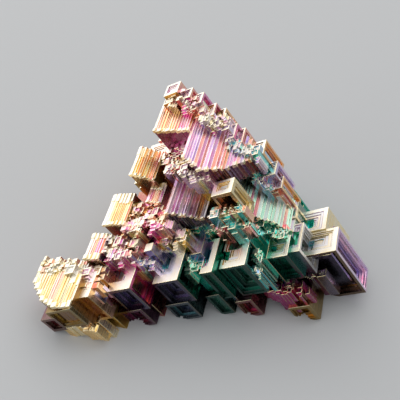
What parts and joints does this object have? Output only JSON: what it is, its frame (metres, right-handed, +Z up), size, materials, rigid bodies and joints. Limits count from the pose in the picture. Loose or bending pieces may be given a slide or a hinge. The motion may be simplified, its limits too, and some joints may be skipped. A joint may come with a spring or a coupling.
{
  "type": "bismuth hopper crystal",
  "caption": "Iridescent bismuth hopper crystal cluster: stepped square hoppers and ridged stairs rising from a low toe to a pointed crown, resting on a flat cut.",
  "frame": {"origin": "middle of the cluster's outline on the flat cut it rests on", "axes": "+Z up from the table, +X along the front row from the gold toe to the silver cube, +Y towards the crown"},
  "size_m": [0.0622, 0.0423, 0.0262],
  "materials": {
    "bismuth": "native bismuth metal with a thin oxide film, gold at the toe through pink to teal at the right"
  },
  "bodies": {
    "root": {"hopper_crystal": "bismuth"}
  },
  "joints": []
}
